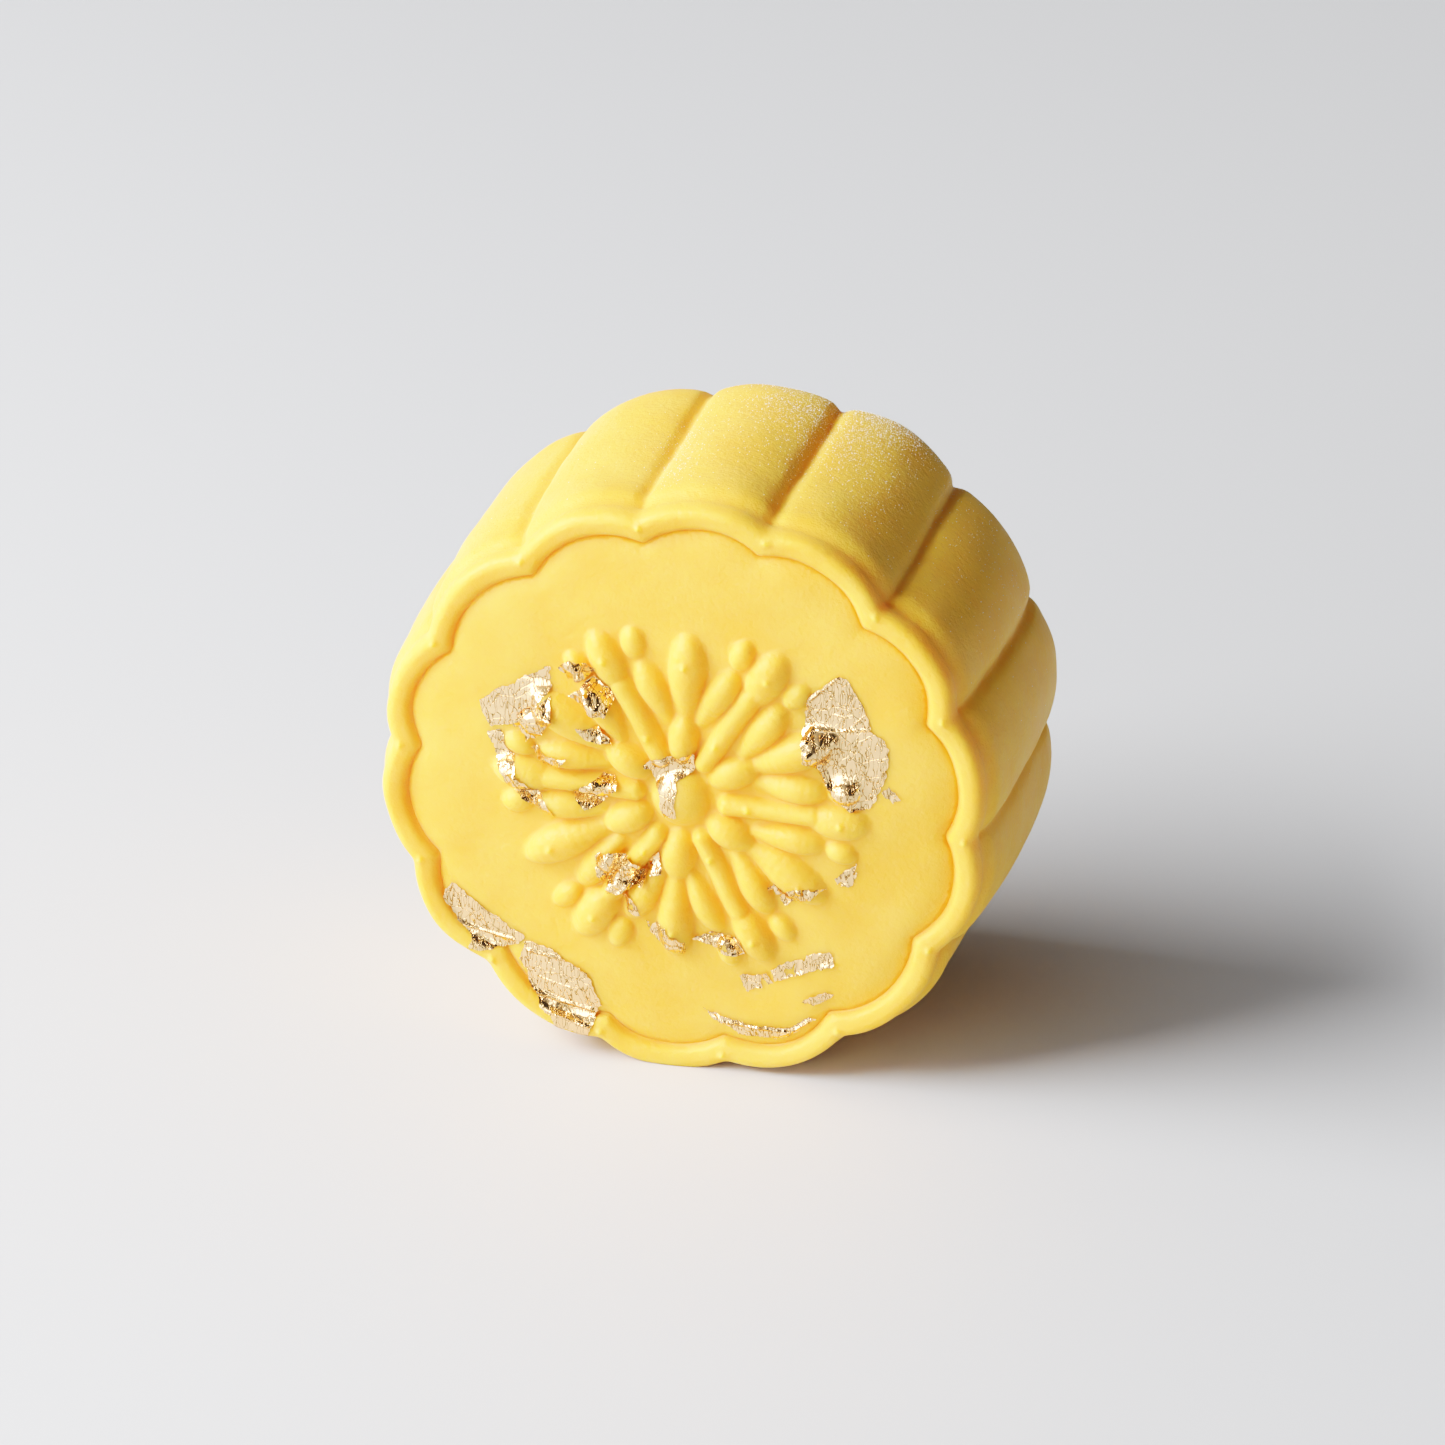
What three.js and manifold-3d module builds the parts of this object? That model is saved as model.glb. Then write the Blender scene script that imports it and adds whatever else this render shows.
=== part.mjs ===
// A small snow-skin mooncake standing on its fluted edge, in millimetres. +Z is up, the axis of the cake
// runs along Y, and the moulded face looks towards -Y. Points on the face are given as x and z from the axis.
import * as THREE from "three";
import Module from "manifold-3d";
import { mergeVertices } from "three/addons/utils/BufferGeometryUtils.js";
import { TessellateModifier } from "three/addons/modifiers/TessellateModifier.js";

// Angles from +X of the valleys between the fourteen lobes, in degrees: no two lobes are quite as wide
const VALLEYS = [
  22.4, 47.9, 73.6, 98.7, 124.6, 151.8, 176.4, 200.8, 226.4, 253.4, 278.6, 303.9, 330.2, 356.6,
];
const LOBES = VALLEYS.map((valley, i) => {
  const start = THREE.MathUtils.degToRad(valley);
  const end = THREE.MathUtils.degToRad(i + 1 < VALLEYS.length ? VALLEYS[i + 1] : VALLEYS[0] + 360);
  return { start, middle: (start + end) / 2, half: (end - start) / 2 };
});
const POINTS_PER_LOBE = 6;
const THICKNESS = 29;
const AXIS_HEIGHT = 23.5; // the dough has settled, so the axis is lower than the crests are far
const FIELD_DEPTH = 0.85; // the field's edge lies this far behind the top of the rim
const FIELD_DOME = 0.25; // its middle swells so far out from there
const FIELD_ROLL = 0.65; // and close to its edge it drops this much more
const ROLL_POWER = 22; // the higher, the closer to its edge the field rolls down
const FIELD_RINGS = [0.6, 0.93]; // shares of the way from its middle to its edge
const UNEVEN = 0.2;
const LEAN = { x: -0.2, z: -0.35 }; // the back has set a little off the axis

// The face from the field out over the rim to the parting line: y behind the rim's top, crest and valley
// radius
const RIM = [
  [FIELD_DEPTH, 22.05, 20.75],
  [0.52, 22.31, 21.02],
  [0.16, 22.62, 21.42],
  [0.06, 22.95, 21.77],
  [0.0, 23.4, 22.27],
  [0.25, 23.87, 22.8],
  [0.62, 24.03, 22.98],
  [1.2, 24.12, 23.08],
  [1.75, 24.1, 23.05],
  [2.15, 24.22, 23.12],
];
const RIM_TOP = 4; // the row of RIM on top of the bead

// The flutes behind it
const FLUTE_ROWS = [3.2, 8, 13, 18, 22];
const FRONT_CREST = 24.35;
const BACK_CREST = 24.7;
const BULGE = 0.7;
const FRONT_SAG = 1.1; // crest radius less valley radius
const BACK_SAG = 0.95;
const BACK_ROUND = 7;
const BACK_ROWS = 6;

// The moulded ornament, a rosette in six parts: a fan of three petals in each, and between them a stem
// with a bud
const PARTS = 6;
const PART_STEP = (2 * Math.PI) / PARTS;
const FIRST_PART = THREE.MathUtils.degToRad(87.5);
const RELIEF = 1.4; // how far its highest forms stand over the field
const BUTTON_RADIUS = 2.3;
const INNER_BUDS = { radius: 4.9, length: 3.2, width: 2.6 };
const PETALS = { radius: 10.1, length: 6.2, width: 2.8 };
const SIDE_PETALS = { radius: 8.9, length: 4.8, width: 2.2, turn: 0.28, tilt: 0.22 };
const STEMS = { radius: 7.0, length: 6.6, width: 1.7 };
const STEM_BUDS = { radius: 12.5, length: 3.9, width: 2.8 };
const BEADS = { radius: 13.1, length: 1.8, width: 1.8, turn: 0.19 };
const PIP_RADIUS = 0.34;
const FORM_SIDES = 8;
const FORM_STEPS = { stem: 2, bud: 4, petal: 5 };
const FORM_TIP = 0.3; // each end runs on by this share of its half width

// Torn flakes of gold leaf on the face, as outlines in x and z
const LEAF_PROUD = 0.28;
const LEAF_ROOT = 0.5; // so deep in the dough behind the field's edge
const LEAF_EDGE = 3; // the longest side of a triangle
const LEAF_CRINKLE = 0.1;
const FLAKES = [
  [[-15.9, 6.3], [-15.3, 6.8], [-10.2, 9.9], [-10.2, 8], [-11.3, 6.4], [-13.1, 4.7], [-15.1, 4.1],
    [-15.6, 5.2]],
  [[-15.2, 3.7], [-14.3, 4.1], [-12.7, 1], [-11.1, -0.9], [-9.7, -2.5], [-10.9, -2.6], [-13.1, -0.8],
    [-14.7, 2]],
  [[-13.2, 5], [-11.5, 6.6], [-10.1, 7.6], [-9.6, 6], [-11, 4], [-12, 3.6]],
  [[-9.5, 10], [-8.5, 11.2], [-6.4, 10.7], [-7, 9.8], [-8.8, 9]],
  [[-8.7, 7.8], [-6.8, 9.6], [-5.2, 8.6], [-5.6, 6.6], [-7.4, 7]],
  [[-8, 5.5], [-6.5, 5.5], [-5.2, 4.1], [-7.2, 4.4]],
  [[-11.6, 3.2], [-10.4, 2.7], [-8.6, 3], [-9.8, 1.5], [-11.3, 2]],
  [[-8.6, -0.4], [-6.2, 1.5], [-4.9, 1], [-5.8, -0.8], [-7.6, -1.9]],
  [[-2.7, 2.6], [-1.9, 3.4], [1.2, 3.9], [1.5, 2.7], [0.7, 2.2], [0, 1.7], [-0.2, -1.3], [-1.3, -1.7],
    [-1.5, 0.6]],
  [[12.4, 11.7], [10, 9.5], [9.6, 6.8], [9.9, 4.6], [10.6, 3.9], [12.1, 1.5], [13.3, 0.7], [14.8, 0.8],
    [15.7, 2.2], [16.4, 3.7], [16.5, 5.9], [15.9, 6.8], [15, 7.3], [14.6, 8.8], [13.7, 10.5], [12.9, 11.6]],
  [[15.9, 2.2], [16.5, 2.8], [17.4, 1.8], [16.8, 1.4]],
  [[-19.2, -10.6], [-18.5, -9.8], [-17.3, -10.3], [-12.6, -13.7], [-13, -14.6], [-15.3, -15.3],
    [-17.4, -15.6], [-16.7, -14.6], [-17.7, -13.4], [-19.1, -11.4]],
  [[-12.9, -15], [-12.5, -14.2], [-11, -14.2], [-7.6, -16.1], [-6.5, -19], [-7, -20.1], [-7.5, -21.9],
    [-10.1, -21.2], [-11.9, -18.8], [-13, -16.3]],
  [[-6.8, -5.6], [-5.6, -4.8], [-2.8, -5.5], [-2.8, -7.2], [-4.8, -8.5], [-5.8, -8.5], [-6.4, -7]],
  [[-2.5, -5.4], [-1.8, -4.9], [-1.5, -6.6], [-2.4, -7]],
  [[-4.6, -8.6], [-3.7, -8.9], [-3.1, -10.3], [-4.2, -10.2]],
  [[-2.9, -10.9], [-1, -10.9], [0.4, -12.3], [0.2, -13.4], [-2, -12.6]],
  [[0.8, -12], [2.7, -11.1], [4.8, -11.4], [5.3, -12.9], [2.8, -12.6]],
  [[4.5, -14.8], [6.7, -14.3], [7.2, -15.1], [5, -16.2]],
  [[7, -14], [10, -12.4], [12, -11.8], [12.2, -12.9], [9.4, -14.1], [7.4, -14.9]],
  [[9.6, -16.5], [11.4, -15.3], [12.2, -15.5], [10.6, -16.8]],
  [[12.2, -5.4], [13.9, -3.8], [13.6, -6], [12.4, -5.9]],
  [[7.1, -6.8], [9.8, -6.1], [11.6, -6.3], [8.4, -8.1]],
  [[1.6, -18.1], [2.4, -18.9], [4.4, -20.2], [7.4, -20.3], [8.4, -19.8], [10.7, -18], [10.2, -17.8],
    [8.6, -18.9], [6.4, -19.2], [3.6, -18.9]],
];

const wasm = await Module();
wasm.setup();

// A closed three.js geometry as a solid that can be joined and cut
function solid(geometry) {
  geometry.deleteAttribute("normal");
  geometry.deleteAttribute("uv");
  const merged = mergeVertices(geometry, 1e-4);
  return new wasm.Manifold(
    new wasm.Mesh({
      numProp: 3,
      vertProperties: new Float32Array(merged.attributes.position.array),
      triVerts: new Uint32Array(merged.index.array),
    }),
  );
}

// Radius of the scalloped outline at an angle: each lobe is an arc from valley to valley
function outline(angle, crest, valley) {
  const turned = THREE.MathUtils.euclideanModulo(angle - LOBES[0].start, 2 * Math.PI) + LOBES[0].start;
  const { middle, half } = LOBES.findLast(({ start }) => turned >= start - 1e-9);
  const fromCrest = turned - middle;
  const centre = (crest ** 2 - valley ** 2) / (2 * (crest - valley * Math.cos(half)));
  const arc = crest - centre;
  const radius = centre * Math.cos(fromCrest) + Math.sqrt(arc ** 2 - (centre * Math.sin(fromCrest)) ** 2);
  return radius - UNEVEN * (Math.cos(3 * angle) - 0.5 * Math.sin(2 * angle));
}

// How far the field swells out over its edge, at a share of the way from its middle to there and at x, z
function swellAt(share) {
  if (share >= 1) return 0;
  return FIELD_DOME * (1 - share ** 2) + FIELD_ROLL * (1 - share ** ROLL_POWER);
}
const swell = (x, z) => swellAt(Math.hypot(x, z) / outline(Math.atan2(z, x), RIM[0][1], RIM[0][2]));

// Every row of the body from the middle of the face to the middle of the back
function bodyRows() {
  const [, crest, valley] = RIM[0];
  const rows = FIELD_RINGS.map((share) => [FIELD_DEPTH - swellAt(share), crest, valley, share]);
  rows.push(...RIM);
  const roundFrom = THICKNESS - BACK_ROUND;
  const at = (y, inset) => {
    const t = y / THICKNESS;
    const crest = THREE.MathUtils.lerp(FRONT_CREST, BACK_CREST, t) + BULGE * 4 * t * (1 - t) - inset;
    const fade = Math.max(1 - inset / BACK_ROUND, 0.02);
    return [y, crest, crest - THREE.MathUtils.lerp(FRONT_SAG, BACK_SAG, t) * fade];
  };
  for (const y of FLUTE_ROWS) rows.push(at(y, 0));
  for (let i = 1; i <= BACK_ROWS; i++) {
    const turn = (i / BACK_ROWS) * (Math.PI / 2);
    rows.push(at(roundFrom + BACK_ROUND * Math.sin(turn), BACK_ROUND * (1 - Math.cos(turn))));
  }
  return rows;
}

function body() {
  const rows = bodyRows();
  const angles = LOBES.flatMap(({ start, half }) =>
    Array.from({ length: POINTS_PER_LOBE }, (_, i) => start + (2 * half * i) / POINTS_PER_LOBE),
  );
  const around = angles.length;
  const positions = [0, FIELD_DEPTH - swellAt(0), 0];
  for (const [y, crest, valley, share = 1] of rows) {
    for (const angle of angles) {
      const radius = share * outline(angle, crest, valley);
      const back = y / THICKNESS;
      positions.push(radius * Math.cos(angle) + LEAN.x * back, y, radius * Math.sin(angle) + LEAN.z * back);
    }
  }
  positions.push(LEAN.x, THICKNESS, LEAN.z);
  const index = [];
  const last = rows.length * around + 1;
  for (let i = 0; i < around; i++) {
    const next = (i + 1) % around;
    index.push(0, 1 + i, 1 + next);
    index.push(last, last - around + next, last - around + i);
    for (let row = 0; row + 1 < rows.length; row++) {
      const a = 1 + row * around + i;
      const b = 1 + row * around + next;
      index.push(a, a + around, b);
      index.push(b, a + around, b + around);
    }
  }
  const geometry = new THREE.BufferGeometry();
  geometry.setAttribute("position", new THREE.Float32BufferAttribute(positions, 3));
  geometry.setIndex(index);
  return geometry;
}

// A rounded form swept along points on the field, each with a half width; its widest place is the highest
function swept({ points, halfWidths, height }) {
  const slope = height / Math.max(...halfWidths);
  const positions = [];
  points.forEach((point, i) => {
    const before = points[Math.max(i - 1, 0)];
    const after = points[Math.min(i + 1, points.length - 1)];
    const along = after.clone().sub(before).normalize();
    for (let s = 0; s < FORM_SIDES; s++) {
      const turn = (s / FORM_SIDES) * 2 * Math.PI;
      const across = halfWidths[i] * Math.cos(turn);
      const out = halfWidths[i] * slope * Math.sin(turn);
      const x = point.x - along.y * across;
      const z = point.y + along.x * across;
      positions.push(x, FIELD_DEPTH - swell(x, z) - out, z);
    }
  });
  const ends = [0, points.length - 1].map((i) => {
    const inwards = points[i === 0 ? 1 : i - 1].clone().sub(points[i]).normalize();
    const tip = points[i].clone().addScaledVector(inwards, -halfWidths[i] * FORM_TIP);
    positions.push(tip.x, FIELD_DEPTH - swell(tip.x, tip.y), tip.y);
    return positions.length / 3 - 1;
  });
  const index = [];
  for (let s = 0; s < FORM_SIDES; s++) {
    const next = (s + 1) % FORM_SIDES;
    for (let i = 0; i + 1 < points.length; i++) {
      const a = i * FORM_SIDES + s;
      const b = i * FORM_SIDES + next;
      index.push(a, b, a + FORM_SIDES);
      index.push(b, b + FORM_SIDES, a + FORM_SIDES);
    }
    const tail = (points.length - 1) * FORM_SIDES;
    index.push(ends[0], next, s);
    index.push(ends[1], tail + s, tail + next);
  }
  const geometry = new THREE.BufferGeometry();
  geometry.setAttribute("position", new THREE.Float32BufferAttribute(positions, 3));
  geometry.setIndex(index);
  return geometry;
}

const polar = (radius, angle) => new THREE.Vector2(Math.cos(angle), Math.sin(angle)).multiplyScalar(radius);

// Half width along a form, from its inner end at 0 to its outer end at 1
const WIDEST = 0.62; // of a petal
const PROFILES = {
  bud: (t) => Math.sqrt(1 - (2 * t - 1) ** 2),
  petal: (t) =>
    t < WIDEST
      ? 0.35 + 0.65 * Math.sin(((t / WIDEST) * Math.PI) / 2)
      : Math.sqrt(1 - ((t - WIDEST) / (1 - WIDEST)) ** 2),
  stem: () => 1,
};

// Each form of the rosette is a line of points on the field with half widths and a height
function rosette() {
  const forms = [];
  const add = (profile, { radius, length, width }, angle, height, tilt = 0) => {
    const steps = FORM_STEPS[profile];
    const ts = Array.from({ length: steps }, (_, i) => (1 - Math.cos(((i + 0.5) / steps) * Math.PI)) / 2);
    const direction = polar(1, angle + tilt);
    forms.push({
      points: ts.map((t) => polar(radius, angle).addScaledVector(direction, (t - 0.5) * length)),
      halfWidths: ts.map((t) => (width / 2) * PROFILES[profile](t)),
      height: RELIEF * height,
    });
  };
  for (let i = 0; i < PARTS; i++) {
    const middle = FIRST_PART + i * PART_STEP;
    const joint = middle + PART_STEP / 2;
    add("bud", INNER_BUDS, middle, 1);
    add("petal", PETALS, middle, 1);
    add("stem", STEMS, joint, 0.75);
    add("bud", STEM_BUDS, joint, 0.95);
    for (const side of [-1, 1]) {
      add("petal", SIDE_PETALS, middle + side * SIDE_PETALS.turn, 0.8, side * SIDE_PETALS.tilt);
      add("bud", BEADS, joint + side * BEADS.turn, 0.6);
    }
  }
  return forms;
}

// How far the face stands towards the viewer at x, z: the body's rows first, then the forms on the field
function faceHeight(x, z, forms) {
  const angle = Math.atan2(z, x);
  const radius = Math.hypot(x, z);
  let height = -FIELD_DEPTH;
  for (let i = 0; i + 1 < RIM.length; i++) {
    const inner = outline(angle, RIM[i][1], RIM[i][2]);
    const outer = outline(angle, RIM[i + 1][1], RIM[i + 1][2]);
    if (radius > inner && radius <= outer) {
      height = -THREE.MathUtils.lerp(RIM[i][0], RIM[i + 1][0], (radius - inner) / (outer - inner));
    }
  }
  const rise = swell(x, z);
  const field = rise - FIELD_DEPTH;
  height += rise;
  const button = 1 - (radius / BUTTON_RADIUS) ** 2;
  if (button > 0) height = Math.max(height, field + RELIEF * Math.sqrt(button));
  const at = new THREE.Vector2(x, z);
  for (const form of forms) {
    const slope = form.height / Math.max(...form.halfWidths);
    for (let i = 0; i + 1 < form.points.length; i++) {
      const along = form.points[i + 1].clone().sub(form.points[i]);
      const t = THREE.MathUtils.clamp(at.clone().sub(form.points[i]).dot(along) / along.lengthSq(), 0, 1);
      const off = at.distanceTo(form.points[i].clone().addScaledVector(along, t));
      const dome = THREE.MathUtils.lerp(form.halfWidths[i], form.halfWidths[i + 1], t) ** 2 - off ** 2;
      if (dome > 0) height = Math.max(height, field + slope * Math.sqrt(dome));
    }
  }
  return height;
}

// A flake of leaf laid over the face, following what is under it
function flake(corners, forms) {
  const shape = new THREE.Shape(corners.map(([x, z]) => new THREE.Vector2(x, z)));
  const slab = new THREE.ExtrudeGeometry(shape, { depth: 1, bevelEnabled: false });
  const geometry = new TessellateModifier(LEAF_EDGE, 8).modify(slab);
  const position = geometry.attributes.position;
  for (let i = 0; i < position.count; i++) {
    const x = position.getX(i);
    const z = position.getY(i);
    const crinkle = LEAF_CRINKLE * Math.sin(2.6 * x + 1.3 * z) * Math.sin(2.1 * z - 0.8 * x);
    const front = -faceHeight(x, z, forms) - LEAF_PROUD - crinkle;
    position.setXYZ(i, x, position.getZ(i) > 0.5 ? front : FIELD_DEPTH + LEAF_ROOT, z);
  }
  return geometry;
}

const forms = rosette();
let cake = solid(body());
const button = new THREE.SphereGeometry(1, 14, 10);
button.scale(BUTTON_RADIUS, RELIEF, BUTTON_RADIUS);
button.translate(0, FIELD_DEPTH - swellAt(0), 0);
cake = cake.add(solid(button));
for (const form of forms) cake = cake.add(solid(swept(form)));

// Pips left by the mould's vents, one on the rim at each valley
for (const { start } of LOBES) {
  const [y, crest, valley] = RIM[RIM_TOP];
  const spot = polar(outline(start, crest, valley), start);
  const pip = new THREE.IcosahedronGeometry(PIP_RADIUS, 0);
  pip.translate(spot.x, y, spot.y);
  cake = cake.add(solid(pip));
}
for (const corners of FLAKES) cake = cake.add(solid(flake(corners, forms)));

// The table presses a flat into the lowest flutes
const table = new THREE.BoxGeometry(80, 80, 20);
table.translate(0, 0, -AXIS_HEIGHT - 10);
cake = cake.subtract(solid(table));

const made = cake.getMesh();
const geometry = new THREE.BufferGeometry();
geometry.setAttribute("position", new THREE.BufferAttribute(made.vertProperties, 3));
geometry.setIndex(new THREE.BufferAttribute(made.triVerts, 1));

// The origin is the middle of the bottom of the bounding box
geometry.computeBoundingBox();
const { min, max } = geometry.boundingBox;
geometry.translate(-(min.x + max.x) / 2, -(min.y + max.y) / 2, -min.z);

const dough = new THREE.MeshStandardMaterial({ color: 0xf6dc6e, roughness: 0.55, metalness: 0 });
const mooncake = new THREE.Mesh(geometry, dough);
mooncake.name = "mooncake";

const group = new THREE.Group();
group.add(mooncake);

export default group;
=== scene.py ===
"""A small snow-skin mooncake dressed with torn gold leaf, standing on its fluted edge on a pale table."""
import math

import bpy
import numpy as np
from mathutils import Matrix, Vector
from mathutils.geometry import delaunay_2d_cdt


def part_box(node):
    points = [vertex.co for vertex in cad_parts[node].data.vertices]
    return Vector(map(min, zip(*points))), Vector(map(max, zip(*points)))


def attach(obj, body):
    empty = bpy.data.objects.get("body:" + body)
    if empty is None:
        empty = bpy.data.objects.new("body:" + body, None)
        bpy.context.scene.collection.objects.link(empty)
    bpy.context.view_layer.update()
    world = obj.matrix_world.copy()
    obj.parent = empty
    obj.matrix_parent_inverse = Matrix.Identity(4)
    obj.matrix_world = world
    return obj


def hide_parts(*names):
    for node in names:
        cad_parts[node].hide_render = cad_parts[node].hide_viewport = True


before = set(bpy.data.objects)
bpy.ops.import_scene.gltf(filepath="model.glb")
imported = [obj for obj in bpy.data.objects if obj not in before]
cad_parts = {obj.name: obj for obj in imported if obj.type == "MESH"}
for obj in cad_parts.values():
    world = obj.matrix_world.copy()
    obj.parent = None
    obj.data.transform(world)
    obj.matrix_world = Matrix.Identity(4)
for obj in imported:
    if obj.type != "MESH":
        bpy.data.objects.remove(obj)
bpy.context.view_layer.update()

MM = 0.001
INSIDE_ONLY = 1  # delaunay_2d_cdt's output type: only the triangles inside the outline

# ---- The cake, in millimetres from its axis: x to the right, y back from the top of the rim, z up ----

# Angles from +X of the valleys between the fourteen lobes: no two lobes are quite as wide
VALLEYS = np.radians(
    [22.4, 47.9, 73.6, 98.7, 124.6, 151.8, 176.4, 200.8, 226.4, 253.4, 278.6, 303.9, 330.2, 356.6]
)
LOBE_MIDDLES = (VALLEYS + np.append(VALLEYS[1:], VALLEYS[0] + 2 * math.pi)) / 2
LOBE_HALVES = LOBE_MIDDLES - VALLEYS
THICKNESS = 29
AXIS_HEIGHT = 23.5
FIELD_DEPTH = 0.85
FIELD_DOME = 0.25  # the field swells this much from its edge to its middle
FIELD_ROLL = 0.65  # and drops this much more close to its edge
ROLL_POWER = 22  # the higher, the closer to its edge the field rolls down
FIELD_RADIUS = 21.3  # the swell is round out to its edge, where it follows the lobes
LOBE_POWER = 8  # the higher, the closer to its edge it begins to follow them
UNEVEN = 0.2  # how far the outline is out of round
LEAN = np.array([-0.2, 0.0, -0.35])  # the back has set a little off the axis
RIM_SHARPNESS = 6.0  # per mm: the higher, the tighter the crease between two lobes
FLUTE_SHARPNESS = 14.0
CLEFT_WIDTH = 0.6  # the dough is pinched in along each valley, this far to either side
FRONT_CLEFT, BACK_CLEFT = 0.25, 0.5
BROAD_SWELL, FINE_SWELL = (0.13, 15), (0.045, 5)  # the unevenness of pressing by hand: height, wavelength
TABLE_SHARPNESS = 18  # per mm: the higher, the tighter the edge of the flat that the table presses

# The face from the field out over the rim to the parting line: y, crest radius and valley radius
RIM = [
    (FIELD_DEPTH, 22.05, 20.75),
    (0.74, 22.2, 20.9),
    (0.52, 22.31, 21.02),
    (0.31, 22.44, 21.2),
    (0.16, 22.62, 21.42),
    (0.07, 22.9, 21.72),
    (0.015, 23.2, 22.03),
    (0.0, 23.4, 22.27),
    (0.07, 23.65, 22.55),
    (0.25, 23.87, 22.8),
    (0.62, 24.03, 22.98),
    (1.2, 24.12, 23.08),
    (1.75, 24.1, 23.05),
    (2.15, 24.22, 23.12),
]
RIM_TOP = 7  # the row of RIM on top of the bead
FLUTE_ROWS = (3.2, 5, 9, 13, 17, 20, 22)
FRONT_CREST = 24.35
BACK_CREST = 24.7
BULGE = 0.7  # the flutes swell this much halfway back
FRONT_SAG = 1.02  # depth of the valleys between the flutes
BACK_SAG = 0.75
BACK_ROUND = 7
BACK_ROWS = 6
LEAST_FLUTE = 0.02  # share of a flute's depth that is left where the round edge meets the back

# How finely the dough is meshed
POINTS_PER_LOBE = 40
GATHER = 0.35  # how much closer the points stand in the creases
FINE_CELL = 0.14  # triangles on the rosette, in mm
COARSE_STEPS = 2  # and how many of them make one on the plain field
EDGE_MARGIN = 1.2  # no point stands closer to the field's edge than this, in fine triangles
BACK_RINGS = 8
PARTS_PER_RIM_ROW = 3
PARTS_PER_FLUTE_ROW = 4
PARTS_PER_BACK_ROW = 3
FORM_POINTS = 14  # along each form of the rosette
PLAIN = 0.004  # less relief than this, in mm, is plain field

# The moulded ornament, a rosette in six parts: a fan of three petals in each, and between them a stem
# with a bud
PARTS = 6
PART_STEP = 2 * math.pi / PARTS
FIRST_PART = math.radians(87.5)
RELIEF = 1.4
BUTTON_RADIUS = 2.3
# Each form: distance of its middle from the axis, length and width
INNER_BUDS = (4.9, 3.2, 2.6)
PETALS = (10.1, 6.2, 2.8)
SIDE_PETALS = (8.9, 4.8, 2.2)
SIDE_TURN, SIDE_TILT = 0.28, 0.22
STEMS = (7.0, 6.6, 1.7)
STEM_BUDS = (12.5, 3.9, 2.8)
BEADS = (13.1, 1.8, 1.8)
BEAD_TURN = 0.19
PIP_RADIUS = 0.34
PIP_HEIGHT = 0.3
PIP_STEEPNESS = 1.6
# How far outwards of the middle of a petal, a stem's bud and a stem its pip sits, and how far it strays
PETAL_PIP, BUD_PIP, STEM_PIP = 1.4, 0.3, -1.5
PIP_STRAY = 0.08
EDGE_SOFTNESS = 15.0  # the higher, the tighter the fillet where a form leaves the field
MERGE_SHARPNESS = 9.0  # per mm: how two forms that touch run into each other
# Where the fillet of the button and of a form has ended, in half widths from the middle
BUTTON_REACH, FORM_REACH = 1.6, 1.8
# How unevenly the forms are cut: shift in mm, turn in radians, and shares of width and height
SHIFTED, TURNED, WIDENED, RAISED = 0.06, 0.02, 0.03, 0.05

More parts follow.
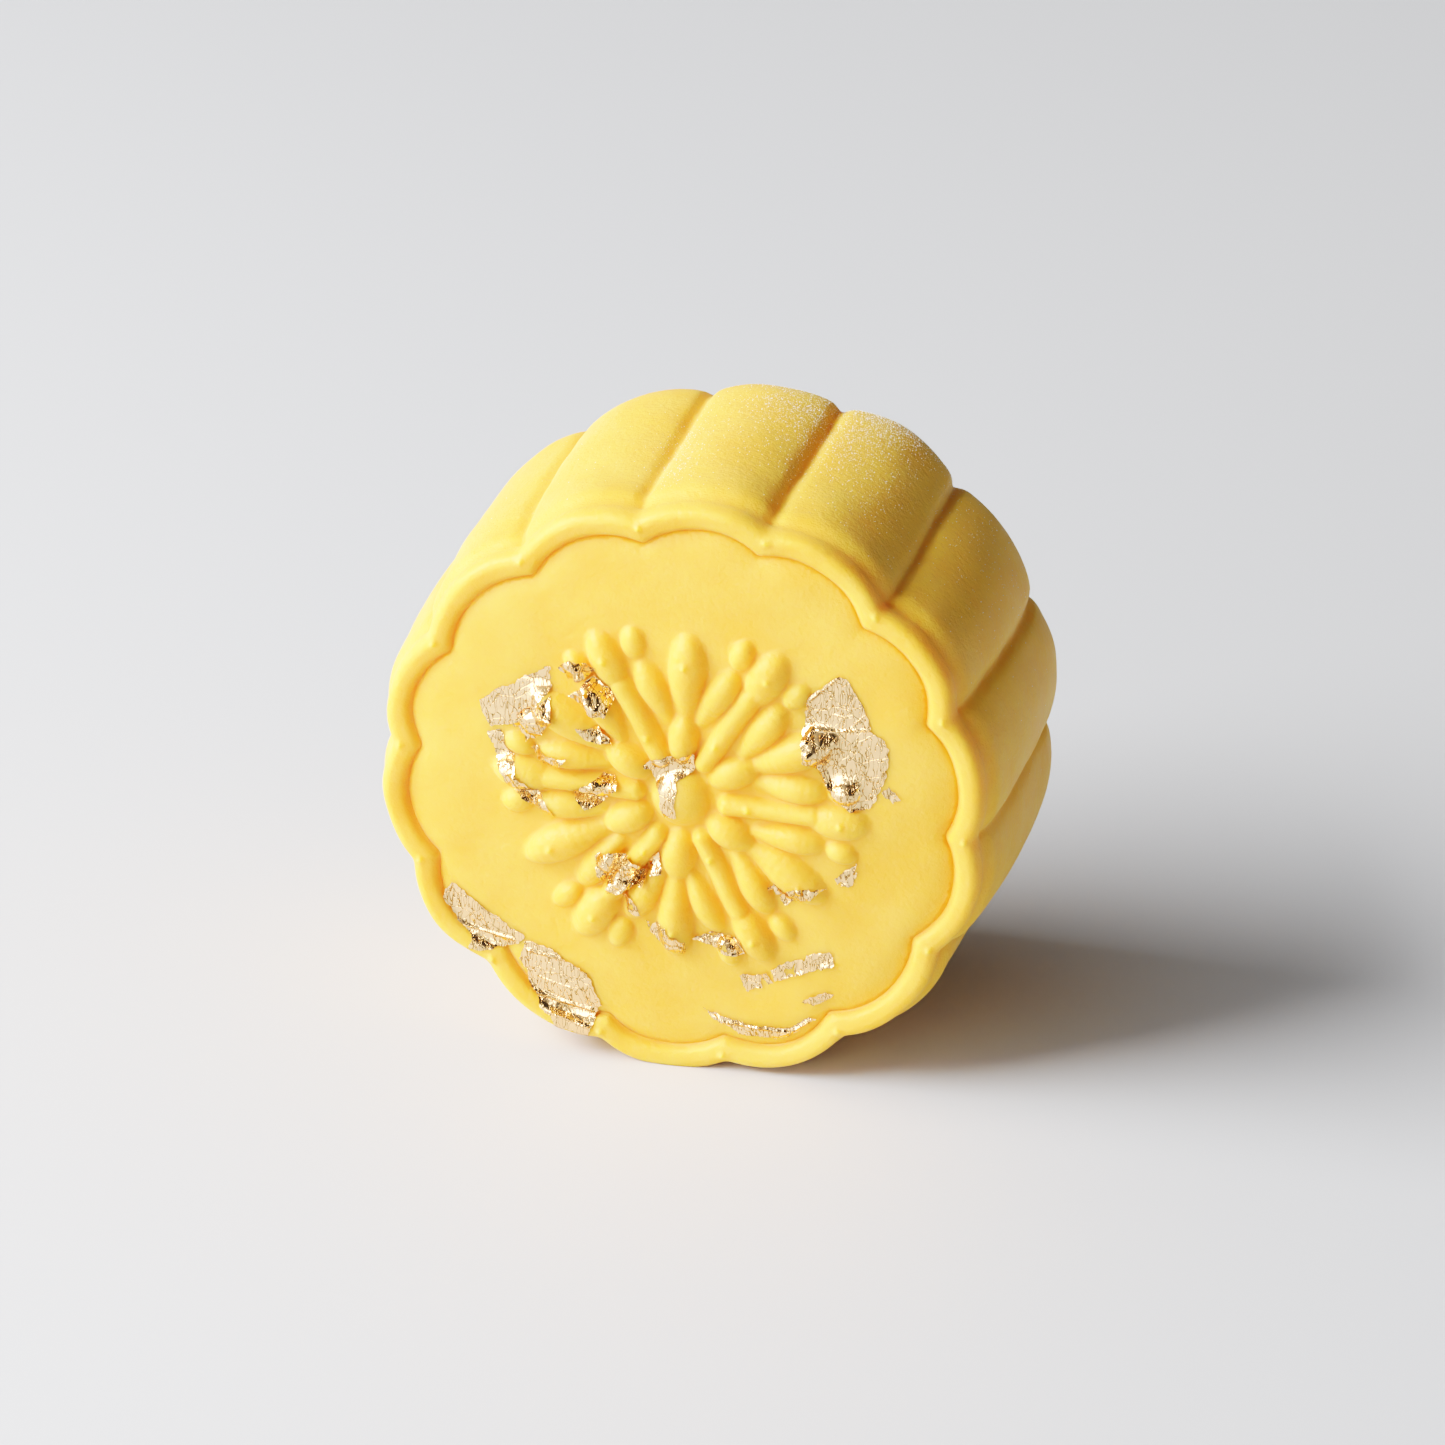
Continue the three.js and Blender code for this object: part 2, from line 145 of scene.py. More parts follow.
# Torn flakes of gold leaf, as outlines in x and z, each with the way it lies
FLAKES = [
    ("flat", [(-15.9, 6.3), (-15.3, 6.8), (-10.2, 9.9), (-10.2, 8), (-11.3, 6.4), (-13.1, 4.7), (-15.1, 4.1),
              (-15.6, 5.2)]),
    ("draped", [(-15.2, 3.7), (-14.3, 4.1), (-12.7, 1), (-11.1, -0.9), (-9.7, -2.5), (-10.9, -2.6),
                (-13.1, -0.8), (-14.7, 2)]),
    ("crushed", [(-13.2, 5), (-11.5, 6.6), (-10.1, 7.6), (-9.6, 6), (-11, 4), (-12, 3.6)]),
    ("crushed", [(-9.5, 10), (-8.5, 11.2), (-6.4, 10.7), (-7, 9.8), (-8.8, 9)]),
    ("crushed", [(-8.7, 7.8), (-6.8, 9.6), (-5.2, 8.6), (-5.6, 6.6), (-7.4, 7)]),
    ("crushed", [(-8, 5.5), (-6.5, 5.5), (-5.2, 4.1), (-7.2, 4.4)]),
    ("crushed", [(-11.6, 3.2), (-10.4, 2.7), (-8.6, 3), (-9.8, 1.5), (-11.3, 2)]),
    ("crushed", [(-8.6, -0.4), (-6.2, 1.5), (-4.9, 1), (-5.8, -0.8), (-7.6, -1.9)]),
    ("flat", [(-2.7, 2.6), (-1.9, 3.4), (1.2, 3.9), (1.5, 2.7), (0.7, 2.2), (0, 1.7), (-0.2, -1.3),
              (-1.3, -1.7), (-1.5, 0.6)]),
    ("flat", [(12.4, 11.7), (10, 9.5), (9.6, 6.8), (9.9, 4.6), (10.6, 3.9), (12.1, 1.5), (13.3, 0.7),
              (14.8, 0.8), (15.7, 2.2), (16.4, 3.7), (16.5, 5.9), (15.9, 6.8), (15, 7.3), (14.6, 8.8),
              (13.7, 10.5), (12.9, 11.6)]),
    ("draped", [(15.9, 2.2), (16.5, 2.8), (17.4, 1.8), (16.8, 1.4)]),
    ("flat", [(-19.2, -10.6), (-18.5, -9.8), (-17.3, -10.3), (-12.6, -13.7), (-13, -14.6), (-15.3, -15.3),
              (-17.4, -15.6), (-16.7, -14.6), (-17.7, -13.4), (-19.1, -11.4)]),
    ("flat", [(-12.9, -15), (-12.5, -14.2), (-11, -14.2), (-7.6, -16.1), (-6.5, -19), (-7, -20.1),
              (-7.5, -21.9), (-10.1, -21.2), (-11.9, -18.8), (-13, -16.3)]),
    ("crushed", [(-6.8, -5.6), (-5.6, -4.8), (-2.8, -5.5), (-2.8, -7.2), (-4.8, -8.5), (-5.8, -8.5),
                 (-6.4, -7)]),
    ("draped", [(-2.5, -5.4), (-1.8, -4.9), (-1.5, -6.6), (-2.4, -7)]),
    ("torn", [(-4.6, -8.6), (-3.7, -8.9), (-3.1, -10.3), (-4.2, -10.2)]),
    ("torn", [(-2.9, -10.9), (-1, -10.9), (0.4, -12.3), (0.2, -13.4), (-2, -12.6)]),
    ("torn", [(0.8, -12), (2.7, -11.1), (4.8, -11.4), (5.3, -12.9), (2.8, -12.6)]),
    ("torn", [(4.5, -14.8), (6.7, -14.3), (7.2, -15.1), (5, -16.2)]),
    ("torn", [(7, -14), (10, -12.4), (12, -11.8), (12.2, -12.9), (9.4, -14.1), (7.4, -14.9)]),
    ("draped", [(9.6, -16.5), (11.4, -15.3), (12.2, -15.5), (10.6, -16.8)]),
    ("torn", [(12.2, -5.4), (13.9, -3.8), (13.6, -6), (12.4, -5.9)]),
    ("torn", [(7.1, -6.8), (9.8, -6.1), (11.6, -6.3), (8.4, -8.1)]),
    ("draped", [(1.6, -18.1), (2.4, -18.9), (4.4, -20.2), (7.4, -20.3), (8.4, -19.8), (10.7, -18),
                (10.2, -17.8), (8.6, -18.9), (6.4, -19.2), (3.6, -18.9)]),
]
# coarse and fine give the size of the facets in mm and their mean slope, reach how wide a dip the leaf
# bridges in mm, tears the share of it that is missing, and crumpled how much it crumples on a steep side
LIES = {
    "flat": {"coarse": (1.9, 0.075), "fine": (0.5, 0.07), "reach": 0.8, "tears": 0.0, "crumpled": 0.15},
    "draped": {"coarse": (1.1, 0.2), "fine": (0.36, 0.22), "reach": 0.14, "tears": 0.03, "crumpled": 1.0},
    "torn": {"coarse": (0.8, 0.3), "fine": (0.3, 0.35), "reach": 0.1, "tears": 0.14, "crumpled": 1.0},
    "crushed": {"coarse": (1.2, 1.0), "fine": (0.42, 0.25), "reach": 0.12, "tears": 0.03, "crumpled": 1.0},
}
CRUMPLE = (0.55, 0.38)  # size and slope of the facets where the leaf has to follow a steep side
# Where the sheet is folded: from, to, height and half width of the fold in mm
FOLDS = [
    ((10, 7.0), (12.5, 7.1), 0.14, 0.13),
    ((12.5, 7.1), (15.1, 7.4), 0.16, 0.12),
    ((10.2, 9.4), (12.3, 11.5), 0.16, 0.2),
    ((9.9, 6.2), (10.3, 6.9), 0.3, 0.3),
    ((10.9, 4.1), (11.7, 2.3), 0.45, 0.36),
    ((13.3, 7.3), (14.6, 8.8), 0.08, 0.1),
    ((13.2, 7), (15, 2.4), 0.04, 0.12),
    ((10.8, 8.6), (13.4, 8.2), 0.04, 0.1),
    ((13.4, 1.8), (13.2, 0.7), 0.12, 0.14),
    ((-16, -11.8), (-15.4, -13.4), 0.1, 0.12),
    ((-17.6, -13.4), (-13.4, -14.2), 0.14, 0.2),
    ((-12.6, -14.9), (-9.2, -15.2), 0.16, 0.2),
    ((-9.8, -14.4), (-7.4, -16.4), 0.16, 0.2),
    ((-12, -17), (-9, -17.6), 0.06, 0.12),
    ((-10.6, -15.4), (-8.6, -19.4), 0.05, 0.1),
    ((-12.4, -18.4), (-7.2, -19.6), 0.2, 0.26),
    ((-10.8, -19.8), (-7.4, -20.9), 0.26, 0.26),
    ((3, -19.2), (8.6, -19.4), 0.2, 0.2),
    ((7.6, -20), (10.3, -18.1), 0.18, 0.22),
]
LEAF_GRID = 0.085  # how far apart the points of the sheet are, and by what share of it they stray
GRID_STRAY = 0.3
LEAF_THICKNESS = 0.03
LEAF_GAP = 0.04  # the sheet lies this far off what it bridges
LEAST_GAP = 0.03  # and nowhere closer to the dough than this
LEAF_LIFT = 0.25  # share of a coarse facet's height that the sheet is raised by
LEAF_REACH = 0.8  # folds and facets rise no higher than this
PROBE = 0.15  # how far to either side of a point the slope under the sheet is measured
HOLE_SIZE = 0.6
OVERHANG = 2.2  # leaf that runs out beyond the rim lies this far behind its top
# How many times longer than wide the facets are
STRETCH = {"coarse": 1.4, "fine": 2.2, "crumple": 1.6, "holes": 1.5}
FACET_SLOPE = 1.6  # about the mean slope of facets of one cell before they are scaled
TORN_WAVES = ((2.6, 0.08), (0.8, 0.04), (0.3, 0.022))  # wavelength and height of the ragged edge

# Rice flour, caught on the upper flutes, most of it at the back: angle in degrees, y, their spreads, and
# grains
FLOUR = [
    (61, 27, 3, 1.0, 2600),
    (64, 24.5, 5, 2.4, 2600),
    (67, 20, 5, 3.5, 1500),
    (55, 26, 4, 2, 900),
    (77, 20, 4, 4, 1200),
    (83, 21, 4, 3.5, 1100),
    (85, 26, 5, 1.2, 700),
    (70, 15, 4, 3.5, 600),
    (97, 13, 3, 3, 420),
    (94, 6, 3, 2.5, 300),
    (59, 11, 4, 4, 360),
    (38, 19, 8, 7, 700),
    (88, 14, 14, 7, 650),
    (60, 14, 40, 9, 600),
]
FLOUR_FRONT, FLOUR_BACK = 3, THICKNESS - 0.1  # no grain lies beyond these y
GRAIN_RADIUS = (0.016, 0.055)
FINENESS = 3.5  # the higher, the fewer grains are large
CHIPPED = (0.7, 1.3)  # how far the corners of a grain are pushed in or out

SEED = 14


# ---- Shape ----
def wobble(points, wavelength, seed):
    """A smooth random swell at points in millimetres, mostly between -1 and 1."""
    rng = np.random.default_rng(seed)
    waves = 14
    total = np.zeros(len(points))
    for _ in range(waves):
        direction = rng.normal(size=3)
        direction *= 2 * math.pi / (wavelength * rng.uniform(0.75, 1.35)) / np.linalg.norm(direction)
        total += np.sin(points @ direction + rng.uniform(0, 2 * math.pi))
    return total / math.sqrt(waves)


def lobe_arc(off, half, crest, valley):
    """Radius of the arc of one lobe at an angle off its middle."""
    centre = (crest**2 - valley**2) / (2 * (crest - valley * np.cos(half)))
    arc = crest - centre
    return centre * np.cos(off) + np.sqrt(np.maximum(arc**2 - (centre * np.sin(off)) ** 2, 0))


def outline(angle, crest, valley, sharpness, cleft):
    """Radius of the scalloped outline, with a fillet and a cleft in the crease between two lobes."""
    turned = (angle - VALLEYS[0]) % (2 * math.pi) + VALLEYS[0]
    lobe = np.searchsorted(VALLEYS, turned, "right") - 1
    off = turned - LOBE_MIDDLES[lobe]
    own = lobe_arc(off, LOBE_HALVES[lobe], crest, valley)
    next_lobe = (lobe + np.where(off > 0, 1, -1)) % len(VALLEYS)
    next_half = LOBE_HALVES[next_lobe]
    beside = lobe_arc(LOBE_HALVES[lobe] + next_half - np.abs(off), next_half, crest, valley)
    radius = own + np.log1p(np.exp(-sharpness * (own - beside))) / sharpness
    from_valley = crest * (LOBE_HALVES[lobe] - np.abs(off)) / CLEFT_WIDTH
    radius -= cleft * np.exp(-(from_valley**2))
    return radius - UNEVEN * (np.cos(3 * angle) - 0.5 * np.sin(2 * angle))


def smooth_rows(rows, parts):
    """Rows on a Catmull-Rom curve through the given rows, with so many steps from each to the next."""
    rows = np.array(rows, float)
    ends = np.vstack([2 * rows[0] - rows[1], rows, 2 * rows[-1] - rows[-2]])
    made = [rows[0]]
    for i, steps in enumerate(parts):
        before, start, end, after = ends[i : i + 4]
        for t in np.arange(1, steps + 1) / steps:
            made.append(
                0.5 * (2 * start + (end - before) * t + (2 * before - 5 * start + 4 * end - after) * t**2
                       + (3 * start - before - 3 * end + after) * t**3)
            )
    return made


def rim_rows():
    """Every row of the rim: y, crest and valley radius, sharpness and depth of the creases."""
    rows = [(y, crest, valley, RIM_SHARPNESS, 0.0) for y, crest, valley in RIM]
    rows[-1] = (*RIM[-1], FLUTE_SHARPNESS, FRONT_CLEFT / 2)
    return smooth_rows(rows, [PARTS_PER_RIM_ROW] * (len(RIM) - 1))


def flute_rows():
    """From the parting line over the flutes and round the back edge."""

    def at(y, inset):
        t = y / THICKNESS
        crest = FRONT_CREST + (BACK_CREST - FRONT_CREST) * t + BULGE * 4 * t * (1 - t) - inset
        fade = max(1 - inset / BACK_ROUND, LEAST_FLUTE)
        cleft = (FRONT_CLEFT + (BACK_CLEFT - FRONT_CLEFT) * t) * fade
        return (y, crest, crest - (FRONT_SAG + (BACK_SAG - FRONT_SAG) * t) * fade, FLUTE_SHARPNESS, cleft)

    rows = [RIM_ROWS[-1]] + [at(y, 0) for y in FLUTE_ROWS]
    for i in range(1, BACK_ROWS + 1):
        turn = i / BACK_ROWS * math.pi / 2
        y = THICKNESS - BACK_ROUND + BACK_ROUND * math.sin(turn)
        rows.append(at(y, BACK_ROUND * (1 - math.cos(turn))))
    parts = [PARTS_PER_FLUTE_ROW] * len(FLUTE_ROWS) + [PARTS_PER_BACK_ROW] * BACK_ROWS
    return smooth_rows(rows, parts)[1:]


def polar(radius, angle):
    return np.array([radius * math.cos(angle), radius * math.sin(angle)])


# Half width along a form, from its inner end at 0 to its outer end at 1. A petal is widest at WIDEST, and its
# inner end has the share NECK of that.
WIDEST, NECK = 0.62, 0.35
PROFILES = {
    "bud": lambda t: np.sqrt(1 - (2 * t - 1) ** 2),
    "petal": lambda t: np.where(
        t < WIDEST, NECK + (1 - NECK) * np.sin(np.minimum(t / WIDEST, 1) * math.pi / 2),
        np.sqrt(1 - (np.maximum(t - WIDEST, 0) / (1 - WIDEST)) ** 2),
    ),
    "stem": lambda t: 1 + 0 * t,
}


def rosette():
    """Each form of the rosette: a line of points on the field, half widths along it, and a height."""
    rng = np.random.default_rng(SEED)
    forms = []

    def add(profile, size, angle, height, tilt=0.0):
        radius, length, width = size
        t = (1 - np.cos((np.arange(FORM_POINTS) + 0.5) / FORM_POINTS * math.pi)) / 2
        middle = polar(radius, angle) + rng.normal(0, SHIFTED, 2)
        direction = polar(1, angle + tilt + rng.normal(0, TURNED))
        forms.append({
            "points": middle + np.outer((t - 0.5) * length, direction),
            "half_widths": width / 2 * PROFILES[profile](t) * (1 + rng.normal(0, WIDENED)),
            "height": RELIEF * height * (1 + rng.normal(0, RAISED)),
        })

    for i in range(PARTS):
        middle = FIRST_PART + i * PART_STEP
        joint = middle + PART_STEP / 2
        add("bud", INNER_BUDS, middle, 1)
        add("petal", PETALS, middle, 1)
        add("stem", STEMS, joint, 0.75)
        add("bud", STEM_BUDS, joint, 0.95)
        for side in (-1, 1):
            add("petal", SIDE_PETALS, middle + side * SIDE_TURN, 0.8, side * SIDE_TILT)
            add("bud", BEADS, joint + side * BEAD_TURN, 0.6)
    return forms


def pip_places():
    """Where the vents of the mould leave a pip: on the rim at each valley, and on the larger forms."""
    rng = np.random.default_rng(SEED + 2)
    top = RIM_ROWS[RIM_TOP * PARTS_PER_RIM_ROW]
    places = [polar(outline(np.array([angle]), *top[1:])[0], angle) for angle in VALLEYS]
    for i in range(PARTS):
        middle = FIRST_PART + i * PART_STEP
        places.append(polar(PETALS[0] + PETAL_PIP, middle))
        places.append(polar(STEM_BUDS[0] + BUD_PIP, middle + PART_STEP / 2))
        places.append(polar(STEMS[0] + STEM_PIP, middle + PART_STEP / 2))
    return np.array(places) + rng.normal(0, PIP_STRAY, (len(places), 2))


RIM_ROWS = rim_rows()
FORMS = rosette()
PIPS = pip_places()


def relief(x, z):
    """How far the swell of the field and the rosette stand over its edge at x, z."""
    radius = np.hypot(x, z)
    edge = outline(np.arctan2(z, x), *RIM_ROWS[0][1:])
    reach = FIELD_RADIUS + (edge - FIELD_RADIUS) * np.minimum(radius / edge, 1) ** LOBE_POWER
    share = np.minimum(radius / reach, 1)
    return FIELD_DOME * (1 - share**2) + FIELD_ROLL * (1 - share**ROLL_POWER) + ornament(x, z)


def ornament(x, z):
    """How far the rosette and the pips stand over the field at x, z."""
    at = np.stack([x, z], -1)
    piled = np.ones(len(x))

    def pile(near, height, roundness):
        soft = np.log1p(np.exp(EDGE_SOFTNESS * roundness)) / EDGE_SOFTNESS
        piled[near] += np.exp(MERGE_SHARPNESS * height * np.sqrt(soft)) - 1

    distance = np.hypot(x, z)
    near = distance < BUTTON_RADIUS * BUTTON_REACH
    pile(near, RELIEF, 1 - (distance[near] / BUTTON_RADIUS) ** 2)
    for form in FORMS:
        points, widths = form["points"], form["half_widths"]
        widest = widths.max()
        low = points.min(0) - FORM_REACH * widest
        high = points.max(0) + FORM_REACH * widest
        near = np.flatnonzero(((at > low) & (at < high)).all(1))
        if len(near) == 0:
            continue
        spot = at[near]
        best = np.full(len(near), -np.inf)
        for a, b, wa, wb in zip(points[:-1], points[1:], widths[:-1], widths[1:]):
            along = b - a
            t = np.clip((spot - a) @ along / (along @ along), 0, 1)
            off = np.linalg.norm(spot - a - t[:, None] * along, axis=1)
            width = wa + (wb - wa) * t
            best = np.maximum(best, (width**2 - off**2) / widest**2)
        pile(near, form["height"], best)
    return np.log(piled) / MERGE_SHARPNESS + pips(x, z)


def pips(x, z):
    """Height of the pips at x, z: small steep domes."""
    height = np.zeros(len(x))
    for pip in PIPS:
        off = np.hypot(x - pip[0], z - pip[1]) / PIP_RADIUS
        height += PIP_HEIGHT * np.exp(-(off**2) * PIP_STEEPNESS)
    return height


def face_height(x, z):
    """How far the face stands in front of the rim's top at x, z: the rows of the rim, then the rosette."""
    angle = np.arctan2(z, x)
    radius = np.hypot(x, z)
    height = np.full(len(x), -float(FIELD_DEPTH))
    inner = outline(angle, *RIM_ROWS[0][1:])
    for row, beyond in zip(RIM_ROWS[:-1], RIM_ROWS[1:]):
        outer = outline(angle, *beyond[1:])
        here = (radius > inner) & (radius <= outer)
        t = (radius - inner) / np.maximum(outer - inner, 1e-6)
        height = np.where(here, -(row[0] + (beyond[0] - row[0]) * t), height)
        inner = np.maximum(inner, outer)
    height = np.where(radius > inner, -OVERHANG, height)
    return height + relief(x, z)


def settle(points):
    """The unevenness of hand-pressed dough, and the flat that the table presses into it."""
    points = np.array(points, float)
    swell = [
        BROAD_SWELL[0] * wobble(points, BROAD_SWELL[1], SEED + axis)
        + FINE_SWELL[0] * wobble(points, FINE_SWELL[1], SEED + 10 + axis)
        for axis in range(3)
    ]
    points = points + np.stack(swell, 1)
    above_table = points[:, 2] + AXIS_HEIGHT
    points[:, 2] = -AXIS_HEIGHT + np.logaddexp(0, TABLE_SHARPNESS * above_table) / TABLE_SHARPNESS
    return points


def dough_face(edge):
    """The face inside its edge: even triangles, fine on the rosette and coarser on the plain field."""
    reach = int(np.abs(edge).max() / FINE_CELL) + 2
    steps = np.arange(-2 * reach, 2 * reach)
    i, j = (n.ravel() for n in np.meshgrid(steps, steps))
    spots = np.stack([(i + j / 2) * FINE_CELL, j * FINE_CELL * math.sqrt(0.75)], 1)
    radius = np.hypot(*spots.T)
    rim = outline(np.arctan2(spots[:, 1], spots[:, 0]), *RIM_ROWS[0][1:])
    coarse = (i % COARSE_STEPS == 0) & (j % COARSE_STEPS == 0)
    kept = radius < rim - EDGE_MARGIN * FINE_CELL
    kept[kept] &= coarse[kept] | (ornament(*spots[kept].T) > PLAIN)
    flat = [Vector(p) for p in np.vstack([edge, spots[kept]])]
    made = delaunay_2d_cdt(flat, [], [list(range(len(edge)))], INSIDE_ONLY, 1e-5)
    points = np.array(made[0])
    on_edge = {first: new for new, old in enumerate(made[3]) for first in old if first < len(edge)}
    order = [on_edge[n] for n in range(len(edge))]
    order += sorted(set(range(len(points))) - set(order))
    place = {old: new for new, old in enumerate(order)}
    points = points[order]
    height = np.concatenate([np.zeros(len(edge)), relief(*points[len(edge) :].T)])
    solid = np.stack([points[:, 0], FIELD_DEPTH - height, points[:, 1]], 1)
    return solid, [tuple(place[v] for v in reversed(face)) for face in made[2]]


def dough():
    """The closed surface: the face, then rings of points over the rim and the flutes to the back's middle."""
    turn = np.linspace(-1, 1, POINTS_PER_LOBE, endpoint=False)
    in_lobe = turn + GATHER * np.sin(math.pi * turn) / math.pi
    angle = np.concatenate([middle + half * in_lobe for middle, half in zip(LOBE_MIDDLES, LOBE_HALVES)])
    rings = []
    for y, *section in RIM_ROWS + flute_rows():
        radius = outline(angle, *section)
        x, z = radius * np.cos(angle), radius * np.sin(angle)
        on_rim = pips(x, z) if 0 < len(rings) < len(RIM_ROWS) else 0
        rings.append(np.stack([x, y - on_rim + 0 * x, z], 1) + LEAN * y / THICKNESS)
    last = rings[-1]
    for i in range(1, BACK_RINGS):
        share = 1 - i / BACK_RINGS
        rings.append(last * [share, 1, share] + LEAN * (1 - share))
    face, faces = dough_face(rings[0][:, [0, 2]])
    around = len(angle)
    starts = [0] + [len(face) + i * around for i in range(len(rings) - 1)]
    i = np.arange(around)
    beside = (i + 1) % around
    for near, far in zip(starts[:-1], starts[1:]):
        faces += list(zip(near + i, far + i, far + beside, near + beside))
    points = np.vstack([face] + rings[1:] + [np.array([[0, THICKNESS, 0]]) + LEAN])
    faces += list(zip(starts[-1] + beside, starts[-1] + i, np.full(around, len(points) - 1)))
    return points, [tuple(int(v) for v in face) for face in faces]


# ---- Placing in the frame ----
def row_shift(points):
    """From the cake's own axis to the frame: in the middle, standing on the floor, its back on its plane."""
    low, high = (np.array(corner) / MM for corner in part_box("mooncake"))
    middle = (points[:, 0].min() + points[:, 0].max()) / 2
    return np.array([(low[0] + high[0]) / 2 - middle, high[1] - THICKNESS, low[2] + AXIS_HEIGHT])


def make_piece(name, points, faces, material):
    mesh = bpy.data.meshes.new(name)
    mesh.from_pydata(((points + SHIFT) * MM).tolist(), [], faces)
    mesh.validate()
    mesh.materials.append(material)
    mesh.polygons.foreach_set("use_smooth", [True] * len(mesh.polygons))
    mesh.update()
    piece = bpy.data.objects.new(name, mesh)
    bpy.context.scene.collection.objects.link(piece)
    return piece


# ---- Gold leaf ----
def torn_outline(corners, rng):
    """The outline in short steps, ragged as torn leaf is."""
    corners = np.array(corners, float)
    beyond = np.roll(corners, -1, 0)
    lengths = np.linalg.norm(beyond - corners, axis=1)
    perimeter = lengths.sum()
    points, normals, travelled = [], [], []
    done = 0.0
    for start, end, length in zip(corners, beyond, lengths):
        steps = max(2, int(length / LEAF_GRID))
        t = np.arange(steps)[:, None] / steps
        points.append(start + (end - start) * t)
        normals.append(np.repeat([[end[1] - start[1], start[0] - end[0]]], steps, 0) / length)
        travelled.append(done + t[:, 0] * length)
        done += length
    points, normals, travelled = (np.concatenate(parts) for parts in (points, normals, travelled))
    push = np.zeros(len(points))
    for wavelength, height in TORN_WAVES:
        # Three waves of about this length, which together rise about 1.7 times as high as one
        for _ in range(3):
            turns = max(1, round(perimeter / wavelength * rng.uniform(0.7, 1.4)))
            phase = rng.uniform(0, 2 * math.pi)
            push += height * np.sin(2 * math.pi * turns * travelled / perimeter + phase) / 1.7
    return points + normals * push[:, None]


def inside(points, edge):
    x, z = points[:, 0], points[:, 1]
    crossings = np.zeros(len(points), bool)
    for (x0, z0), (x1, z1) in zip(edge, np.roll(edge, -1, 0)):
        spans = (z0 > z) != (z1 > z)
        crossings ^= spans & (x < x0 + (z - z0) * (x1 - x0) / (z1 - z0 + 1e-12))
    return crossings


def facets(points, cell, slope, stretch, rng):
    """Crumpled foil: flat facets of about one cell, with sharp folds between them and a mean slope."""
    turn = rng.uniform(0, math.pi)
    axes = np.array([[math.cos(turn) / stretch, math.sin(turn) / stretch], [-math.sin(turn), math.cos(turn)]])
    at = points @ axes.T / cell
    margin = 1.5  # cells: the facets run on past the sheet's edge
    low, high = at.min(0) - margin, at.max(0) + margin

    def nearest():
        seeds = rng.uniform(low, high, (max(6, int(np.prod(high - low))), 2))
        return np.min([((at - seed) ** 2).sum(1) for seed in seeds], axis=0)

    return slope * cell / FACET_SLOPE * (nearest() - nearest())


def folds(points):
    """Height of the places where the sheet is folded over."""
    height = np.zeros(len(points))
    for start, end, high, half in FOLDS:
        start, along = np.array(start), np.array(end) - np.array(start)
        t = np.clip((points - start) @ along / (along @ along), 0, 1)
        off = np.linalg.norm(points - start - t[:, None] * along, axis=1) / half
        rising = np.clip(6 * t + 0.3, 0, 1)  # low at its start, and at its full height soon after
        height = np.maximum(height, high * np.clip(1 - off, 0, 1) * rising)
    return height


def flake(lie, corners, rng):
    """One flake of leaf as a thin closed skin that follows what it lies on."""
    edge = torn_outline(corners, rng)
    low, high = edge.min(0), edge.max(0)
    grid = np.stack(np.meshgrid(*(np.arange(a, b, LEAF_GRID) for a, b in zip(low, high))), -1).reshape(-1, 2)
    grid += rng.uniform(-GRID_STRAY, GRID_STRAY, grid.shape) * LEAF_GRID
    grid = grid[inside(grid, edge)]
    flat = [Vector(p) for p in np.vstack([edge, grid])]
    made = delaunay_2d_cdt(flat, [], [list(range(len(edge)))], INSIDE_ONLY, 1e-4)
    points, faces = np.array(made[0]), made[2]
    x, z = points.T
    way = LIES[lie]
    # Over a dip the sheet lies at the mean height of two rings of points around
    turns = np.arange(12) * math.pi / 6
    around = [(way["reach"] * share * math.cos(turn), way["reach"] * share * math.sin(turn))
              for share in (0.5, 1) for turn in turns]
    own = face_height(x, z)
    ground = np.maximum(own, np.mean([face_height(x + dx, z + dz) for dx, dz in around], axis=0))
    proud = facets(points, *way["coarse"], STRETCH["coarse"], rng)
    proud = proud + facets(points, *way["fine"], STRETCH["fine"], rng) + folds(points)
    steep = np.hypot(face_height(x + PROBE, z) - face_height(x - PROBE, z),
                     face_height(x, z + PROBE) - face_height(x, z - PROBE)) / (2 * PROBE)
    crumple = facets(points, *CRUMPLE, STRETCH["crumple"], rng)
    proud += crumple * np.clip(steep, 0, 1) * way["crumpled"]
    lift = LEAF_LIFT * way["coarse"][0] * way["coarse"][1]
    height = np.maximum(ground + LEAF_GAP + np.minimum(lift + proud, LEAF_REACH), own + LEAST_GAP)
    if way["tears"]:
        patchy = facets(points, HOLE_SIZE, 1.0, STRETCH["holes"], rng)
        worn = patchy > np.quantile(patchy, 1 - way["tears"])
        faces = [face for face in faces if not worn[list(face)].all()]
    return closed_skin(np.stack([x, -height, z], 1), faces)


def closed_skin(top, faces):
    """The sheet with its underside and its edges."""
    sides = {}
    for face in faces:
        for a, b in zip(face, face[1:] + face[:1]):
            sides[(a, b)] = True
    rim = [(a, b) for a, b in sides if (b, a) not in sides]
    count = len(top)
    points = np.vstack([top, top + [0, LEAF_THICKNESS, 0]])
    skin = [tuple(face) for face in faces] + [tuple(v + count for v in reversed(face)) for face in faces]
    skin += [(b, a, a + count, b + count) for a, b in rim]
    used = sorted({v for face in skin for v in face})
    index = {v: i for i, v in enumerate(used)}
    return points[used], [tuple(index[v] for v in face) for face in skin]


def gold_leaf():
    rng = np.random.default_rng(SEED + 1)
    points, faces = [], []
    for lie, corners in FLAKES:
        flake_points, flake_faces = flake(lie, corners, rng)
        start = sum(len(p) for p in points)
        points.append(flake_points)
        faces += [tuple(v + start for v in face) for face in flake_faces]
    return settle(np.concatenate(points)), faces


